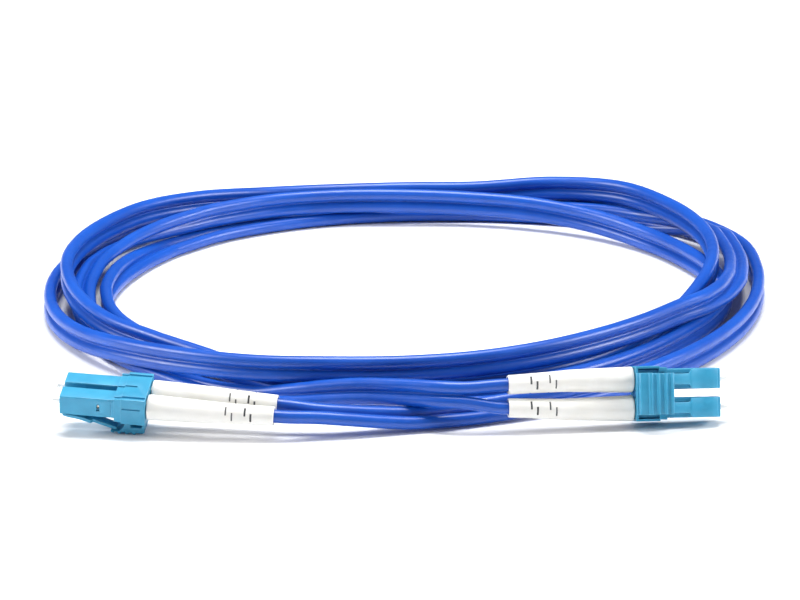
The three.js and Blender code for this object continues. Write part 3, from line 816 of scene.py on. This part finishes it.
def place_cord():
    stations = cord_stations()
    here = Matrix.Identity(4)
    finished(jacket(stations), "jacket_zipcord", here, "cord", JACKET, ["cable_jacket"])
    tail_b, tail_a = tail("b", stations[0]["thin"]), tail("a", stations[-1]["thin"])
    whole = tail_b[::-1] + stations + tail_a
    sleeve = [p for p in stations if p["x"] <= YARN_END]
    for letter, side in (("a", 1), ("b", -1)):
        finished(
            strand(whole, side, FIBRE_R, 8, -FIBRE_OFFSET), f"buffered_fibre_{letter}", here,
            "cord", BUFFER, [f"fibre_{letter}"],
        )
        finished(
            strand(sleeve, side, YARN_R, 9, YARN_OFFSET, 3), f"aramid_bundle_{letter}", here,
            "cord", YARN, [f"aramid_{letter}"],
        )


def ferrule_spring(y):
    """Round wire spring behind the ferrule flange."""
    turns, per_turn, wire_sides = 7, 18, 8
    coil, wire = 1.28, 0.15  # radii
    rear, length = 30.66, 7.08
    rings = []
    count = turns * per_turn
    for k in range(count + 1):
        t = k / count
        a = 2 * math.pi * turns * t
        one = []
        for i in range(wire_sides):
            b = 2 * math.pi * i / wire_sides
            r = coil + wire * math.cos(b)
            x = rear + length * t + wire * math.sin(b)
            one.append((x, y + math.cos(a) * r, math.sin(a) * r))
        rings.append(one)
    return smooth(loft(rings), 60)


METAL_PARTS = (("crimp_sleeve", CRIMP), ("rear_body", FLANGE), ("ferrule_flange", FLANGE))


def place_inner_parts(letter):
    """Springs are rebuilt as round wire; the turned metal parts keep their CAD shape."""
    place = connector_place(letter)
    for number, side in ((1, 1), (2, -1)):
        tag = f"{letter}{number}"
        y = side * PLUG_Y
        spring = finished(
            ferrule_spring(y), f"spring_{tag}_wire", place, "cord", STEEL,
            [f"ferrule_spring_{tag}"],
        )
        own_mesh(spring)
        for kind, material in METAL_PARTS:
            node = NODES[f"{kind}_{tag}"]
            node.data.materials.clear()
            node.data.materials.append(material)


# ---- stage, light and camera, in metres ------------------------------------
FLOOR_HALF = 3.0
FLOOR_Z = -0.00002
LIGHTS = (  # name, place, point aimed at, size, power in watts
    ("overhead", (0.0, 0.15, 1.1), (0, 0, 0), (0.7, 0.45), 16.5),
    ("front_fill", (0.1, -1.4, 0.9), (0, 0, 0), (0.8, 0.6), 0.9),
    ("end_light", (-0.95, -0.1, 0.5), (-0.07, 0, 0), (0.5, 0.4), 8.5),
    ("end_light", (0.95, -0.1, 0.5), (0.07, 0, 0), (0.5, 0.4), 8.5),
)
WORLD_STRENGTH = 0.15
CAMERA_ANGLE = math.radians(17.5)  # above the table
CAMERA_DISTANCE = 1.25
CAMERA_AIM = Vector((-0.715, 4.861, 0.099)) * MM
LENS, SENSOR = 240.75, 36  # mm
LENS_SHIFT = (-0.00375, 0.0125)


def floor_material():
    material, tree, shader = new_material("floor_white")
    shade = ramp(tree, noise(tree, 3, 2), (0.90, 0.90, 0.905), (0.92, 0.92, 0.925))
    tree.links.new(shade, shader.inputs["Base Color"])
    shader.inputs["Roughness"].default_value = 0.6
    shader.inputs["Specular IOR Level"].default_value = 0.2
    return material


def build_stage():
    mesh = bpy.data.meshes.new("floor")
    h = FLOOR_HALF
    mesh.from_pydata([(-h, -h, 0), (h, -h, 0), (h, h, 0), (-h, h, 0)], [], [(0, 1, 2, 3)])
    floor = bpy.data.objects.new("floor", mesh)
    floor.location.z = FLOOR_Z
    mesh.materials.append(floor_material())
    bpy.context.scene.collection.objects.link(floor)


def area_light(name, place, aim, size, power):
    data = bpy.data.lights.new(name, "AREA")
    data.shape = "RECTANGLE"
    data.size, data.size_y = size
    data.energy = power
    lamp = bpy.data.objects.new(name, data)
    lamp.location = place
    lamp.rotation_mode = "QUATERNION"
    lamp.rotation_quaternion = (Vector(aim) - Vector(place)).to_track_quat("-Z", "Y")
    bpy.context.scene.collection.objects.link(lamp)


def build_lights():
    for light in LIGHTS:
        area_light(*light)
    world = bpy.data.worlds.new("studio")
    world.use_nodes = True
    background = world.node_tree.nodes["Background"]
    background.inputs["Color"].default_value = (1, 1, 1, 1)
    background.inputs["Strength"].default_value = WORLD_STRENGTH
    bpy.context.scene.world = world
    bpy.context.scene.view_settings.view_transform = "Standard"


def build_camera():
    """Long lens looking along +Y and down at the middle of the coil."""
    back = Vector((0, -math.cos(CAMERA_ANGLE), math.sin(CAMERA_ANGLE)))
    data = bpy.data.cameras.new("camera")
    data.sensor_width = SENSOR
    data.lens = LENS
    data.shift_x, data.shift_y = LENS_SHIFT
    data.clip_start, data.clip_end = 0.05, 20
    camera = bpy.data.objects.new("camera", data)
    camera.location = CAMERA_AIM + back * CAMERA_DISTANCE
    camera.rotation_mode = "QUATERNION"
    camera.rotation_quaternion = (-back).to_track_quat("-Z", "Y")
    bpy.context.scene.collection.objects.link(camera)
    bpy.context.scene.camera = camera


place_cord()
for letter in "ab":
    build_connector(letter)
    place_inner_parts(letter)
build_stage()
build_lights()
build_camera()

bpy.context.view_layer.update()
